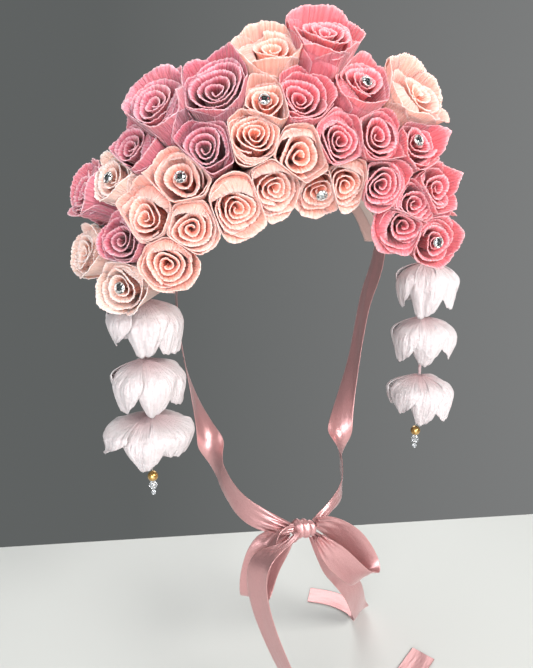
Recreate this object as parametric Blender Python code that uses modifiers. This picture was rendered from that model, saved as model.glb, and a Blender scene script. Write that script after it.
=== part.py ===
"""Crepe-paper rose halo crown with two hanging tassels and a satin ribbon tied in a bow, as worn.
Metres, +Z up, the wearer faces -Y, so the wearer's right side is -X. The origin is the middle of
the headband's inner face at its highest point, where the crown rests on the head."""

import bpy
import bmesh
from math import cos, sin, pi, radians
from mathutils import Matrix, Vector

for obj in list(bpy.data.objects):
    bpy.data.objects.remove(obj)

MM = 0.001
GAP = 0.5 * MM

# The band: half its width at the temples, and the drop from its top to there.
BAND_HALF, BAND_DROP = 80 * MM, 98 * MM
BAND_LOW, BAND_HIGH = -70.0, 62.0  # degrees of arc, the wearer's right end sits lower
LEVEL = 3.5  # degrees each side of the top where the band is flat
LINING = (0.0, 0.8 * MM, 7.0 * MM)  # inner offset, outer offset, half width
CORE = (1.1 * MM, 3.1 * MM, 5.0 * MM)
FELT = (3.7 * MM, 6.1 * MM)
FELT_FRONT, FELT_BACK = -37 * MM, 30 * MM
HEAD_ROUND = 115 * MM  # how fast the felt falls away fore and aft, as the head does

# Roses: name, paper, degrees of arc, lean forward in degrees, reach in mm, mouth radius in mm.
ROSES = (
    ("top_centre", "peach crepe", -10, 45, 87, 18.5),
    ("top_left", "pink crepe", 1, 44, 93, 22.0),
    ("upper_right_outer", "dusty pink crepe", -36, 41, 86, 21.0),
    ("upper_right_inner", "dusty pink crepe", -25, 52, 86, 20.5),
    ("gem_top", "peach crepe", -15, 65, 81, 15.5),
    ("dark_heart", "pink crepe", -6, 66, 81, 17.5),
    ("gem_upper_left", "pink crepe", 11, 58, 84, 17.0),
    ("wide_left", "peach crepe", 25, 52, 86, 22.0),
    ("bud_right", "dusty pink crepe", -46, 42, 80, 15.5),
    ("middle_right", "dusty pink crepe", -35, 67, 79, 16.0),
    ("middle_orange", "peach crepe", -22, 75, 78, 16.0),
    ("middle_centre", "peach crepe", -9, 88, 74, 17.5),
    ("middle_left", "pink crepe", 6, 82, 76, 15.5),
    ("oval_left", "pink crepe", 20, 75, 78, 16.0),
    ("gem_outer_left", "pink crepe", 32, 68, 80, 15.0),
    ("gem_outer_right", "cream crepe", -54, 40, 78, 14.0),
    ("gem_middle_right", "peach crepe", -45, 67, 75, 17.0),
    ("side_right", "dusty pink crepe", -59, 24, 78, 17.0),
    ("fan_right", "peach crepe", -58, 62, 73, 18.0),
    ("temple_right", "peach crepe", -55, 82, 71, 15.5),
    ("front_right", "peach crepe", -40, 94, 72, 17.0),
    ("front_centre", "peach crepe", -22, 98, 71, 17.0),
    ("gem_front", "peach crepe", 2, 107, 68, 15.5),
    ("front_left", "peach crepe", 15, 100, 70, 15.0),
    ("brow_left", "pink crepe", 30, 92, 74, 15.5),
    ("small_right", "dusty pink crepe", -66, 54, 72, 15.0),
    ("cream_right", "cream crepe", -72, 30, 70, 15.0),
    ("gem_low_right", "cream crepe", -78, 57, 68, 15.0),
    ("low_right", "peach crepe", -68, 78, 70, 15.5),
    ("temple_left", "pink crepe", 50, 97, 68, 16.0),
    ("pointed_left", "pink crepe", 46, 74, 76, 14.5),
    ("small_left", "pink crepe", 45, 87, 72, 14.0),
    ("gem_low_left", "pink crepe", 62, 84, 70, 14.5),
)
# The back row, in three banks: name, first and last degree of arc. Each has four rose heads.
BANKS = (("back_roses_right", -77, -29), ("back_roses_centre", -28, 21), ("back_roses_left", 22, 66))
HEADS = 4

# Tassels: side, the band end it is tied near, x and z from that end to the tie, the two flower
# drops and the drop to the pin, and the radii and heights of the three flowers, in mm.
TASSELS = (
    ("right", BAND_LOW, -24.8, -1.5, (42, 41, 40), (27, 27, 31), (36, 36, 31)),
    ("left", BAND_HIGH, 38.4, 4.0, (42, 47, 39), (24, 25, 27), (36, 36, 34)),
)
TIE_Y = -4.5
THREAD = 22  # mm

# The ribbon, its knot under the chin, and the table that its tails reach.
RIBBON = 20 * MM
BUNDLE = 20 * MM  # the knot grips the gathered cloth to a share of this, whatever the ribbon's width
RIBBON_THICK = 0.7 * MM
CHIN_DROP = 249 * MM
KNOT = Vector((0, -52 * MM, -CHIN_DROP))
TABLE = -405 * MM

# Colour, roughness and metallic value of each finish.
FINISHES = {
    "pink crepe": ((0.71, 0.15, 0.20), 0.85, 0.0),
    "dusty pink crepe": ((0.67, 0.20, 0.26), 0.85, 0.0),
    "peach crepe": ((0.93, 0.51, 0.40), 0.85, 0.0),
    "cream crepe": ((0.91, 0.66, 0.56), 0.85, 0.0),
    "blush crepe": ((0.89, 0.60, 0.54), 0.85, 0.0),
    "white paper": ((0.85, 0.80, 0.80), 0.80, 0.0),
    "twisted paper": ((0.85, 0.64, 0.64), 0.85, 0.0),
    "gold bead": ((0.48, 0.23, 0.04), 0.30, 0.9),
    "crystal": ((0.83, 0.87, 0.91), 0.05, 0.0),
    "wire": ((0.48, 0.45, 0.39), 0.30, 1.0),
    "satin": ((0.57, 0.23, 0.23), 0.35, 0.0),
    "felt": ((0.79, 0.60, 0.54), 0.95, 0.0),
    "lining": ((0.85, 0.71, 0.64), 0.90, 0.0),
    "band core": ((0.83, 0.79, 0.75), 0.50, 0.0),
}

crown = bpy.data.collections.new("flower_crown")
bpy.context.scene.collection.children.link(crown)


def add(name, mesh, finish):
    """The mesh as a named object of the crown, with its own material in the given finish."""
    obj = bpy.data.objects.new(name, mesh)
    crown.objects.link(obj)
    colour, roughness, metallic = FINISHES[finish]
    material = bpy.data.materials.new(name)
    material.use_nodes = True
    shader = material.node_tree.nodes["Principled BSDF"]
    shader.inputs["Base Color"].default_value = (*colour, 1.0)
    shader.inputs["Roughness"].default_value = roughness
    shader.inputs["Metallic"].default_value = metallic
    mesh.materials.append(material)
    return obj


def spaced(low, high, steps):
    return [low + (high - low) * i / steps for i in range(steps + 1)]


def outward(degrees):
    t = radians(degrees)
    return Vector((sin(t) / BAND_HALF, 0, cos(t) / BAND_DROP)).normalized()


def arch(degrees, offset=0.0, y=0.0):
    """A point on the band's inner curve, moved outwards by offset and along Y."""
    t = radians(degrees)
    height = 0.0 if abs(degrees) <= LEVEL else BAND_DROP * (cos(t) - 1)
    return Vector((BAND_HALF * sin(t), y, height)) + outward(degrees) * offset


def ray(degrees, lean):
    """Unit vector: straight out from the band, leaning forward by lean degrees."""
    a = radians(lean)
    return outward(degrees) * cos(a) + Vector((0, -sin(a), 0))


# The band: a lining against the hair, a springy core and a felt base that the roses are glued to.
def shell(name, rows, thickness, offset, finish):
    """An open surface through rows of points, thickened by Solidify: offset 1 outwards, 0 both ways."""
    count = len(rows[0])
    faces = []
    for i in range(len(rows) - 1):
        for j in range(count - 1):
            a = i * count + j
            faces.append((a, a + 1, a + count + 1, a + count))
    mesh = bpy.data.meshes.new(name)
    mesh.from_pydata([p for row in rows for p in row], [], faces)
    obj = add(name, mesh, finish)
    wall = obj.modifiers.new("thickness", "SOLIDIFY")
    wall.thickness = thickness
    wall.offset = offset
    wall.use_even_offset = True
    return obj


def along_arch(low, high):
    """Degrees of arc from low to high, in steps that keep the top level."""
    steps = spaced(-21 * LEVEL, 17 * LEVEL, 19)
    return [low] + [a for a in steps if low + 2 < a < high - 2] + [high]


def band_strip(name, inner, outer, half, finish):
    """A strip along the arch, level where it rests on the head."""
    rows = [[arch(a, inner, half), arch(a, inner, -half)] for a in along_arch(BAND_LOW, BAND_HIGH)]
    shell(name, rows, outer - inner, 1.0, finish)


def felt_drop(y):
    return y * y / (2 * HEAD_ROUND)


def felt_front(degrees):
    """The felt narrows towards its ends, so that it stays hidden behind the roses."""
    return FELT_FRONT * min(1.0, 1 - 0.6 * (degrees - 24) / 42, 1 - 0.5 * (-60 - degrees) / 20)


band_strip("band_lining", *LINING, "lining")
band_strip("headband_core", *CORE, "band core")

felt_rows = [
    [arch(a, FELT[0] - felt_drop(y), y) for y in spaced(FELT_BACK, felt_front(a), 6)]
    for a in along_arch(BAND_LOW - 10, BAND_HIGH + 4)
]
shell("felt_base", felt_rows, FELT[1] - FELT[0], 1.0, "felt")


# Roses: a cone of petals from the felt to a cupped mouth with a raised heart. Where two roses meet,
# both are cut back to the plane between them, as the petals press flat on each other.
ROSE_SIDES = 10
ROSE_PROFILE = (  # share of the mouth radius, share of the length, mm beyond that
    (0, 0, 0.4), (0.24, 0, 0.4), (0.36, 0.30, 0), (0.78, 0.74, 0), (1.0, 0.95, 0), (0.92, 1.0, 0),
    (0.48, 1.0, -6.0), (0.24, 1.0, -1.5), (0, 1.0, -0.6),
)


def rose_frame(degrees, lean, reach, radius):
    """The rose's root, its mouth, and the plane that keeps it off the felt and the head."""
    y = 0.84 * felt_front(degrees) * min(1.0, lean / 95.0)
    root = arch(degrees, FELT[1] + 0.9 * MM - felt_drop(y), y)
    tip = arch(degrees) + ray(degrees, lean) * reach * MM
    # The plane is level with the felt at the root, or runs from the felt's front edge to just under
    # the mouth where the rose leans down past it.
    out = outward(degrees)
    felt = arch(degrees, FELT[1] + GAP - felt_drop(y), y)
    head_side = -(out + Vector((0, y / HEAD_ROUND, 0))).normalized()
    under = tip - out * radius * 0.9 * MM
    if (under - felt).dot(head_side) > 0:
        edge = felt_front(degrees)
        felt = arch(degrees, FELT[1] + 2 * GAP - felt_drop(edge), edge)
        along = under - felt
        along = (out * along.dot(out) + Vector((0, along.y, 0))).normalized()
        head_side = -(out - along * out.dot(along)).normalized()
    return root, tip, radius * MM, felt, head_side


def profile_mesh(name, profile):
    """The outline as edges in the XZ plane, from radius and height pairs in metres."""
    mesh = bpy.data.meshes.new(name)
    points = [(r, 0, z) for r, z in profile]
    edges = [(i, i + 1) for i in range(len(points) - 1)]
    if profile[0][0] > 0:
        edges.append((len(points) - 1, 0))  # an outline clear of the axis is a closed one
    mesh.from_pydata(points, edges, [])
    return mesh


def rose_cone(name, length, radius):
    """The whole rose before it is cut back: its outline spun about its own axis."""
    profile = [(across * radius, along * length + more * MM) for across, along, more in ROSE_PROFILE]
    mesh = profile_mesh(name, profile)
    work = bmesh.new()
    work.from_mesh(mesh)
    bmesh.ops.spin(
        work, geom=work.verts[:] + work.edges[:], cent=(0, 0, 0), axis=(0, 0, 1),
        angle=2 * pi, steps=ROSE_SIDES,
    )
    bmesh.ops.remove_doubles(work, verts=work.verts[:], dist=0.01 * MM)
    bmesh.ops.recalc_face_normals(work, faces=work.faces)
    work.to_mesh(mesh)
    work.free()
    return mesh


def cut_back(mesh, place, normal):
    """Keeps the side of the plane that the normal points away from, and closes the cut."""
    work = bmesh.new()
    work.from_mesh(mesh)
    if max((vert.co - place).dot(normal) for vert in work.verts) > 0:
        bmesh.ops.bisect_plane(
            work, geom=work.verts[:] + work.edges[:] + work.faces[:], dist=1e-7,
            plane_co=place, plane_no=normal, clear_outer=True,
        )
        edges = [edge for edge in work.edges if edge.is_boundary]
        bmesh.ops.triangle_fill(work, use_beauty=True, edges=edges, normal=normal)
        bmesh.ops.remove_doubles(work, verts=work.verts[:], dist=0.002 * MM)
        bmesh.ops.recalc_face_normals(work, faces=work.faces)
        work.to_mesh(mesh)
    work.free()


frames = [(name, paper, *rose_frame(*numbers)) for name, paper, *numbers in ROSES]
for name, paper, root, tip, radius, felt, head_side in frames:
    mesh = rose_cone("rose_" + name, (tip - root).length, radius)
    place = Matrix.LocRotScale(root, (tip - root).to_track_quat("Z", "Y"), None)
    into, turn = place.inverted(), place.to_3x3().inverted()
    cut_back(mesh, into @ felt, turn @ head_side)
    for other, _, root2, tip2, radius2, _, _ in frames:
        if other == name or (tip2 - tip).length > radius + radius2 + 12 * MM:
            continue
        low, high = (root + root2) / 2, tip + (tip2 - tip) * radius / (radius + radius2)
        along = (high - low).normalized()
        normal = (tip2 - tip) - along * (tip2 - tip).dot(along)
        normal.normalize()
        cut_back(mesh, into @ (high - normal * GAP / 2), turn @ normal)
    rose = add("rose_" + name, mesh, paper)
    rose.rotation_mode = "QUATERNION"
    rose.location, rose.rotation_quaternion, rose.scale = place.decompose()


# The back row: a bank of rose bodies standing on the rear of the felt, scalloped where each head is.
def loft(name, sections, finish):
    """One closed body through equal-sized rings of points, capped at both ends."""
    count = len(sections[0])
    faces = []
    for i in range(len(sections) - 1):
        for j in range(count):
            a, b = i * count + j, i * count + (j + 1) % count
            faces.append((a, a + count, b + count, b))
    last = (len(sections) - 1) * count
    faces += [tuple(range(count)), tuple(reversed(range(last, last + count)))]
    mesh = bpy.data.meshes.new(name)
    mesh.from_pydata([p for ring in sections for p in ring], [], faces)
    return add(name, mesh, finish)


for name, low, high in BANKS:
    rings = []
    steps = HEADS * 5
    for i, a in enumerate(spaced(low, high, steps)):
        swell = abs(sin(pi * HEADS * i / steps)) ** 0.6
        reach = (46 + 9 * swell + 12 * cos(radians(a)) ** 2) * MM
        front = min(22.0, max(6.0, 6 + (a + 62) * 1.2))  # how far the bank's face leans forward
        foot = [arch(a, FELT[1] + GAP - felt_drop(share * FELT_BACK), share * FELT_BACK) for share in (0.13, 0.4, 0.7, 0.97)]
        face = [
            arch(a, 0, foot[0].y) + ray(a, front) * reach * 0.8,
            arch(a) + ray(a, front) * reach,
            arch(a) + ray(a, -12) * (reach + 3 * MM),
            arch(a) + ray(a, -33) * (reach - 1 * MM),
            arch(a) + ray(a, -44) * (reach - 12 * MM),
        ]
        rings.append([foot[0], *face, *reversed(foot[1:])])
    loft(name, rings, "blush crepe")


# Tassels. Each hangs from one tie: a twisted paper thread, three hollow paper flowers whose wire
# stems carry the next one, and a wire pin with a gold bead and a crystal bead.
def turned(name, profile, finish, sides, parent=None, place=(0, 0, 0), squash=1.0):
    """A body turned about its own upright axis. The profile and, from the parent, the place are in mm."""
    mesh = profile_mesh(name, [(r * MM, z * MM) for r, z in profile])
    obj = add(name, mesh, finish)
    obj.location = Vector(place) * MM
    obj.scale.y = squash
    obj.parent = parent
    screw = obj.modifiers.new("turn", "SCREW")
    screw.steps = screw.render_steps = sides
    screw.use_merge_vertices = True
    screw.merge_threshold = 0.01 * MM
    return obj


def flower_profile(radius, height, drop):
    """A hollow cup of petals with a stem down its middle that ends just above the next tie."""
    r = float(radius)
    return [
        (0, -0.4), (0.8, -0.4), (3.2, -3.2), (0.50 * r, -6.5), (0.88 * r, -0.45 * height), (r, -0.8 * height),
        (0.9 * r, -height), (0.84 * r, 1 - height), (0.93 * r, -0.8 * height), (0.80 * r, -0.45 * height - 1),
        (0.42 * r, -9), (1.6, -8), (0.8, -drop + 0.4), (0, -drop + 0.4),
    ]


THREAD_PROFILE = [(0, -0.4), (1.0, -0.4), (2.6, -3), (2.2, -10), (2.6, 5 - THREAD), (0.8, 0.4 - THREAD), (0, 0.4 - THREAD)]
PIN_PROFILE = [
    (0, -0.4), (0.7, -0.4), (1.5, -2.4), (0.45, -5.2), (0.45, -20.2), (1.4, -21.2), (1.6, -22.4),
    (0.9, -23.8), (0, -24.2),
]
BORE = 0.75
GOLD_PROFILE = [(BORE, 3.1), (1.9, 3.1), (3.2, 1.9), (3.8, 0), (3.2, -1.9), (1.9, -3.1), (BORE, -3.1)]
CRYSTAL_PROFILE = [(BORE, 2.9), (1.8, 2.9), (3.1, 0.9), (3.1, -0.9), (1.8, -2.9), (BORE, -2.9)]

for side, end, x, z, drops, radii, heights in TASSELS:
    tie = arch(end) / MM + Vector((x, TIE_Y, z))
    above = turned("thread_" + side, THREAD_PROFILE, "twisted paper", 10, None, tie)
    hang = THREAD
    for level, drop, radius, height in zip(("top", "middle", "bottom"), drops, radii, heights):
        profile = flower_profile(radius, height, drop)
        above = turned(f"flower_{level}_{side}", profile, "white paper", 14, above, (0, 0, -hang))
        hang = drop
    pin = turned("pin_" + side, PIN_PROFILE, "wire", 10, above, (0, 0, -hang))
    turned("gold_bead_" + side, GOLD_PROFILE, "gold bead", 14, pin, (0, 0, -9.0))
    turned("crystal_bead_" + side, CRYSTAL_PROFILE, "crystal", 8, pin, (0, 0, -16.2))


# The ribbon: two strands from the band's ends down behind the head's sides and round the neck to a
# knot, two loops and two tails. Each is a strip swept along a path, with its width direction given.
def down_side(end, x, y, share):
    """A point beside the head: x as a share of the band's half width, and share of the way to the chin."""
    top = arch(end).z
    return Vector((x * BAND_HALF, y * MM, top + (KNOT.z - top) * share))


def from_knot(x, y, z):
    return KNOT + Vector((x, y, z)) * MM


def to_table(x, y, share):
    """A point of a tail: x and y in mm, and how far it is from the knot's height to the table's."""
    on_table = TABLE + RIBBON_THICK / 2 + 0.15 * MM
    return Vector((x * MM, y * MM, KNOT.z + (on_table - KNOT.z) * share))


def strip(name, stations, smooth=1):
    """A ribbon along stations: point, width direction, share of the width. A share under a half is a
    bundle in the knot's grip. smooth rounds its corners."""
    path = [
        (point, Vector(across).normalized(), share * (RIBBON if share > 0.5 else BUNDLE))
        for point, across, share in stations
    ]
    for _ in range(smooth):
        finer = [path[0]]
        for a, b in zip(path, path[1:]):
            for t in (0.25, 0.75):
                finer.append((a[0].lerp(b[0], t), a[1].lerp(b[1], t).normalized(), a[2] + (b[2] - a[2]) * t))
        path = finer + [path[-1]]
    rows = []
    for i, (point, across, width) in enumerate(path):
        ahead = (path[min(i + 1, len(path) - 1)][0] - path[max(i - 1, 0)][0]).normalized()
        half = (across - ahead * across.dot(ahead)).normalized() * width / 2
        rows.append([point - half, point + half])
    shell(name, rows, RIBBON_THICK, 0.0, "satin")


strip("ribbon_strand_right", (
    (down_side(BAND_LOW, -0.931, 2, 0.014), (0, 1, 0), 0.8), (down_side(BAND_LOW, -0.963, 14, 0.106), (0, 1, 0.3), 1),
    (down_side(BAND_LOW, -0.938, 27, 0.22), (0, 1, 0.3), 1), (down_side(BAND_LOW, -0.913, 32, 0.355), (0, 1, 0.2), 1),
    (down_side(BAND_LOW, -0.863, 32, 0.49), (0, 1, 0.3), 1), (down_side(BAND_LOW, -0.788, 28, 0.626), (0.1, 0.8, 0.5), 1),
    (down_side(BAND_LOW, -0.70, 20, 0.745), (0.1, 0.6, 0.8), 1), (down_side(BAND_LOW, -0.638, 8, 0.843), (0.05, 0.25, 0.95), 1),
    (from_knot(-48.5, 44, 19), (0, 0, 1), 1), (from_knot(-40, 22, 9), (0, 0.1, 1), 0.95),
    (from_knot(-24, 8, 3), (0, 0.2, 1), 0.8), (from_knot(-9, 1.5, 0), (0, 0.2, 1), 0.4),
), 2)
strip("ribbon_strand_left", (
    (down_side(BAND_HIGH, 0.919, 2, 0.036), (0, 1, 0), 0.8), (down_side(BAND_HIGH, 0.963, 15, 0.132), (0, 1, 0.3), 1),
    (down_side(BAND_HIGH, 0.938, 28, 0.254), (0, 1, 0.3), 1), (down_side(BAND_HIGH, 0.913, 33, 0.396), (0, 1, 0.2), 1),
    (down_side(BAND_HIGH, 0.863, 33, 0.538), (0, 1, 0.3), 1), (down_side(BAND_HIGH, 0.775, 29, 0.67), (-0.1, 0.8, 0.5), 1),
    (down_side(BAND_HIGH, 0.675, 21, 0.792), (-0.1, 0.6, 0.8), 1), (down_side(BAND_HIGH, 0.613, 8, 0.883), (-0.05, 0.25, 0.95), 1),
    (from_knot(46.5, 46, 15), (0, 0, 1), 1), (from_knot(38, 23, 11), (0, 0, 1), 0.9),
    (from_knot(22, 8, 7), (0.3, 0, 1), 0.6), (from_knot(9, 1.5, 1), (0.3, 0.2, 1), 0.35),
), 2)
KNOT_PROFILE = [(0, 7.5), (4, 7), (7, 3.5), (7.6, 0), (6.8, -4), (4, -7), (0, -7.5)]
turned("bow_knot", KNOT_PROFILE, "satin", 12, None, KNOT / MM, 0.75)
strip("bow_loop_right", (
    (from_knot(-8.5, -2, 3), (0.1, -0.3, 0.9), 0.35), (from_knot(-21, -5, 3), (0.5, -0.6, 0.5), 0.7),
    (from_knot(-32, -5, -9), (0.8, -0.5, 0.2), 0.95), (from_knot(-37, -2, -33), (0.85, -0.5, 0), 1),
    (from_knot(-36, 3, -55), (0.85, -0.5, 0), 1), (from_knot(-30, 12, -57), (0.85, -0.5, 0), 1),
    (from_knot(-24, 14, -37), (0.85, -0.5, 0), 1), (from_knot(-15, 8, -17), (0.8, -0.5, 0.2), 0.8),
    (from_knot(-9, 3, -7), (0.5, -0.5, 0.5), 0.4),
))
strip("bow_loop_left", (
    (from_knot(8.8, -1, 4), (0.2, 0, 0.9), 0.35), (from_knot(20, 5, -3), (0.6, -0.1, 0.75), 0.8),
    (from_knot(39, 10, -19), (0.69, -0.2, 0.69), 1), (from_knot(54, 14, -42), (0.69, -0.2, 0.69), 1),
    (from_knot(57, 11, -55), (0.69, -0.25, 0.69), 1), (from_knot(48, 3, -54), (0.69, -0.3, 0.66), 1),
    (from_knot(34, -5, -37), (0.69, -0.2, 0.69), 1), (from_knot(20, -9, -19), (0.69, -0.1, 0.7), 0.95),
    (from_knot(9.5, -5.5, -5), (0.5, 0, 0.8), 0.35),
))
strip("ribbon_tail_right", (
    (from_knot(-7.5, -8, 0), (0, -0.3, 0.9), 0.3), (from_knot(-16, -18, 4), (0, -0.9, 0.5), 0.6),
    (from_knot(-31, -23, 1), (0.2, -1, 0.2), 0.9), (to_table(-40, -74, 0.084), (0.45, -0.9, 0), 1),
    (to_table(-37, -74, 0.264), (0.55, -0.85, 0), 1), (to_table(-27, -75, 0.476), (0.55, -0.85, 0), 1),
    (to_table(-14, -78, 0.688), (0.5, -0.87, 0), 1), (to_table(0, -82, 0.894), (0.3, -0.95, 0), 1),
    (to_table(14, -86, 0.994), (0, -1, 0), 1), (to_table(34, -86, 1), (0, -1, 0), 1),
    (to_table(64, -70, 1), (0.5, -0.85, 0), 1), (to_table(94, -46, 1), (0.6, -0.8, 0), 1),
    (to_table(118, -28, 1), (0.56, -0.83, 0), 1),
))
strip("ribbon_tail_left", (
    (from_knot(7.5, 2, -7.5), (0.5, 0.1, 0.8), 0.3), (from_knot(17, 3, -21), (0.8, 0.2, 0.5), 0.8),
    (to_table(29, -37, 0.289), (0.9, 0.3, 0.3), 1), (to_table(42, -24, 0.424), (0.9, 0.4, 0.2), 1),
    (to_table(56, -16, 0.572), (0.85, 0.5, 0.1), 1), (to_table(67, -2, 0.74), (0.8, 0.6, 0), 1),
    (to_table(77, 14, 0.894), (0.7, 0.7, 0), 1), (to_table(83, 27, 0.977), (0.9, 0.5, 0), 1),
    (to_table(80, 40, 1), (0.8, 0.6, 0), 1), (to_table(66, 56, 1), (0.6, 0.8, 0), 1),
    (to_table(46, 66, 1), (0.4, 0.9, 0), 1),
))
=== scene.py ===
"""Looks of the crepe-paper rose crown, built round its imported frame.
Metres, +Z up as worn, the wearer faces -Y. The origin is the top of the band's inner face."""

import bpy
import bmesh
import numpy as np
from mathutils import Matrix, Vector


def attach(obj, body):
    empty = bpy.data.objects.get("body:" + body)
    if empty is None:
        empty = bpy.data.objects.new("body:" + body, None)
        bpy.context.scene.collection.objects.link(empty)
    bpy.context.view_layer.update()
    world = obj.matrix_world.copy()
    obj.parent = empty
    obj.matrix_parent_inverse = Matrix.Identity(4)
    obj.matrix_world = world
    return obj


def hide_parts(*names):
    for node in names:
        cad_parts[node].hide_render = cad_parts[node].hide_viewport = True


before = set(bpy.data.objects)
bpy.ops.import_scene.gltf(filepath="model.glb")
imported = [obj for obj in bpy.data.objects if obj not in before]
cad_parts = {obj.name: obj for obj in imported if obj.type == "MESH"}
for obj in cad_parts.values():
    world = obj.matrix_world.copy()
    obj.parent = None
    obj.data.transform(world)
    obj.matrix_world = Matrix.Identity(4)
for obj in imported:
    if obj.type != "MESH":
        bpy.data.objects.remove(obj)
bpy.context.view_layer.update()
MM = 0.001


# ---- The table, the light and the camera ----
# The ribbon's tails reach a pale table whose back edge stands a hand's width behind the crown.
# One broad soft light hangs high on the wearer's left and a weaker one fills from the other side.
TABLE_TOP = -0.4054
TABLE_HEADING = np.radians(8.0)  # the table's back edge is square to this direction
TABLE_BEHIND, TABLE_AHEAD, TABLE_SIDE = 0.185, 1.6, 1.6


class Value:
    """A node socket that Python's operators build Math nodes from."""

    def __init__(self, finish, socket):
        self.finish, self.socket = finish, socket

    def maths(self, operation, *values):
        return self.finish.node("Math", {"operation": operation}, dict(enumerate(values)))

    def __add__(self, other):
        return self.maths("ADD", self, other)

    def __radd__(self, other):
        return self.maths("ADD", other, self)

    def __sub__(self, other):
        return self.maths("SUBTRACT", self, other)

    def __rsub__(self, other):
        return self.maths("SUBTRACT", other, self)

    def __mul__(self, other):
        return self.maths("MULTIPLY", self, other)

    def __rmul__(self, other):
        return self.maths("MULTIPLY", other, self)

    def clamped(self, low, high):
        """0 at low, 1 at high, held there beyond."""
        settings = {"clamp": True}
        places = {"Value": self, "From Min": low, "From Max": high, "To Min": 0.0, "To Max": 1.0}
        return self.finish.node("MapRange", settings, places)


class Finish:
    """A material in the making. Its fixed values go straight to the shader's own sockets."""

    def __init__(self, name, **fixed):
        self.material = bpy.data.materials.new(name)
        self.material.use_nodes = True
        self.tree = self.material.node_tree
        self.shader = self.tree.nodes["Principled BSDF"]
        for socket, value in fixed.items():
            self.shader.inputs[socket.replace("_", " ")].default_value = value

    def fill(self, socket, value):
        """Links a Value to the socket, or sets its own value. Three numbers in a colour get an alpha."""
        if isinstance(value, Value):
            self.tree.links.new(value.socket, socket)
        elif isinstance(value, tuple) and len(value) == 3 and socket.type == "RGBA":
            socket.default_value = (*value, 1.0)
        else:
            socket.default_value = value

    def node(self, kind, settings=None, values=None, output=0):
        """Adds a node: its settings first, or a ramp's stops, then its sockets. Gives one output back."""
        made = self.tree.nodes.new("ShaderNode" + kind)
        for key, setting in (settings or {}).items():
            if key == "stops":
                while len(made.color_ramp.elements) < len(setting):
                    made.color_ramp.elements.new(1.0)
                for element, (place, colour) in zip(made.color_ramp.elements, setting):
                    element.position, element.color = place, (*colour, 1.0)
            else:
                setattr(made, key, setting)
        for key, value in (values or {}).items():
            self.fill(made.inputs[key], value)
        return Value(self, made.outputs[output])

    def place(self):
        """The point in metres."""
        return self.node("TexCoord", None, None, 3)

    def flat(self):
        """The point's place in mm on the cloth laid flat."""
        return self.node("UVMap", {"uv_map": "flat"})

    def attribute(self, name):
        """The piece's tone or edge at the point."""
        return self.node("Attribute", {"attribute_name": name}, None, 2)

    def mix(self, share, first, second, how="MIX"):
        """Mixes two colours."""
        settings = {"data_type": "RGBA", "blend_type": how}
        return self.node("Mix", settings, {0: share, 6: first, 7: second}, 2)

    def noise(self, vector, scale, detail=2.0, roughness=0.5):
        """Cloudy values about one half."""
        places = {"Vector": vector, "Scale": scale, "Detail": detail, "Roughness": roughness}
        return self.node("TexNoise", None, places)

    def stretched(self, vector, scale):
        """The place with each axis multiplied, so that a pattern is drawn out along the small ones."""
        return self.node("Mapping", None, {"Vector": vector, "Scale": scale})

    def bump(self, height, distance, strength):
        """A normal that tilts as if the height, from 0 to 1, stood out by the distance."""
        return self.node("Bump", None, {"Height": height, "Distance": distance, "Strength": strength})

    def ends(self, **linked):
        """Links the last values to the shader and gives the material back."""
        for socket, value in linked.items():
            self.fill(self.shader.inputs[socket.replace("_", " ")], value)
        return self.material


away = np.array([np.sin(TABLE_HEADING), np.cos(TABLE_HEADING), 0])
along = np.array([away[1], -away[0], 0])
table_corners = [
    along * x * TABLE_SIDE + away * y + np.array([0, 0, TABLE_TOP])
    for x, y in ((-1, -TABLE_AHEAD), (1, -TABLE_AHEAD), (1, TABLE_BEHIND), (-1, TABLE_BEHIND))
]
table_mesh = bpy.data.meshes.new("table_top")
table_mesh.from_pydata([tuple(c) for c in table_corners], [], [(0, 1, 2, 3)])
table_mesh.materials.append(Finish("pale_table", Base_Color=(0.56, 0.57, 0.55, 1), Roughness=0.6).material)
table = bpy.data.objects.new("table_top", table_mesh)
bpy.context.scene.collection.objects.link(table)

# The room is grey, and paler on the wearer's left.
world = bpy.data.worlds.new("grey_room")
world.use_nodes = True
room = world.node_tree
heading = room.nodes.new("ShaderNodeTexCoord").outputs["Generated"]
sideways = room.nodes.new("ShaderNodeSeparateXYZ")
shades = room.nodes.new("ShaderNodeValToRGB")
darkest, palest = shades.color_ramp.elements
darkest.position, darkest.color = 0.0, (0.115, 0.122, 0.121, 1)
palest.position, palest.color = 0.75, (0.222, 0.226, 0.226, 1)
room.links.new(heading, sideways.inputs[0])
room.links.new(sideways.outputs["X"], shades.inputs["Fac"])
room.links.new(shades.outputs["Color"], room.nodes["Background"].inputs["Color"])
room.nodes["Background"].inputs["Strength"].default_value = 1.0
bpy.context.scene.world = world
bpy.context.scene.view_settings.view_transform = "Standard"


def soft_light(name, place, towards, size, power, colour=(1, 1, 1)):
    """A round lamp of the given width in metres and power in watts, aimed at a point."""
    lamp = bpy.data.lights.new(name, "AREA")
    lamp.shape = "DISK"
    lamp.size, lamp.energy, lamp.color = size, power, colour
    obj = bpy.data.objects.new(name, lamp)
    bpy.context.scene.collection.objects.link(obj)
    direction = Vector(towards) - Vector(place)
    obj.location = place
    obj.rotation_euler = direction.to_track_quat("-Z", "Y").to_euler()


soft_light("key_light", (0.75, -1.25, 0.85), (0, -0.02, -0.1), 0.8, 31, (1.0, 0.985, 0.96))
soft_light("fill_light", (-0.5, -1.40, 0.12), (0, 0, -0.1), 1.2, 28, (0.97, 0.98, 1.0))
soft_light("top_light", (-0.1, 0.1, 1.3), (0, 0, 0), 1.0, 10)
soft_light("back_light", (0.4, 1.3, 0.5), (0, 0, -0.05), 1.0, 9)

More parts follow.
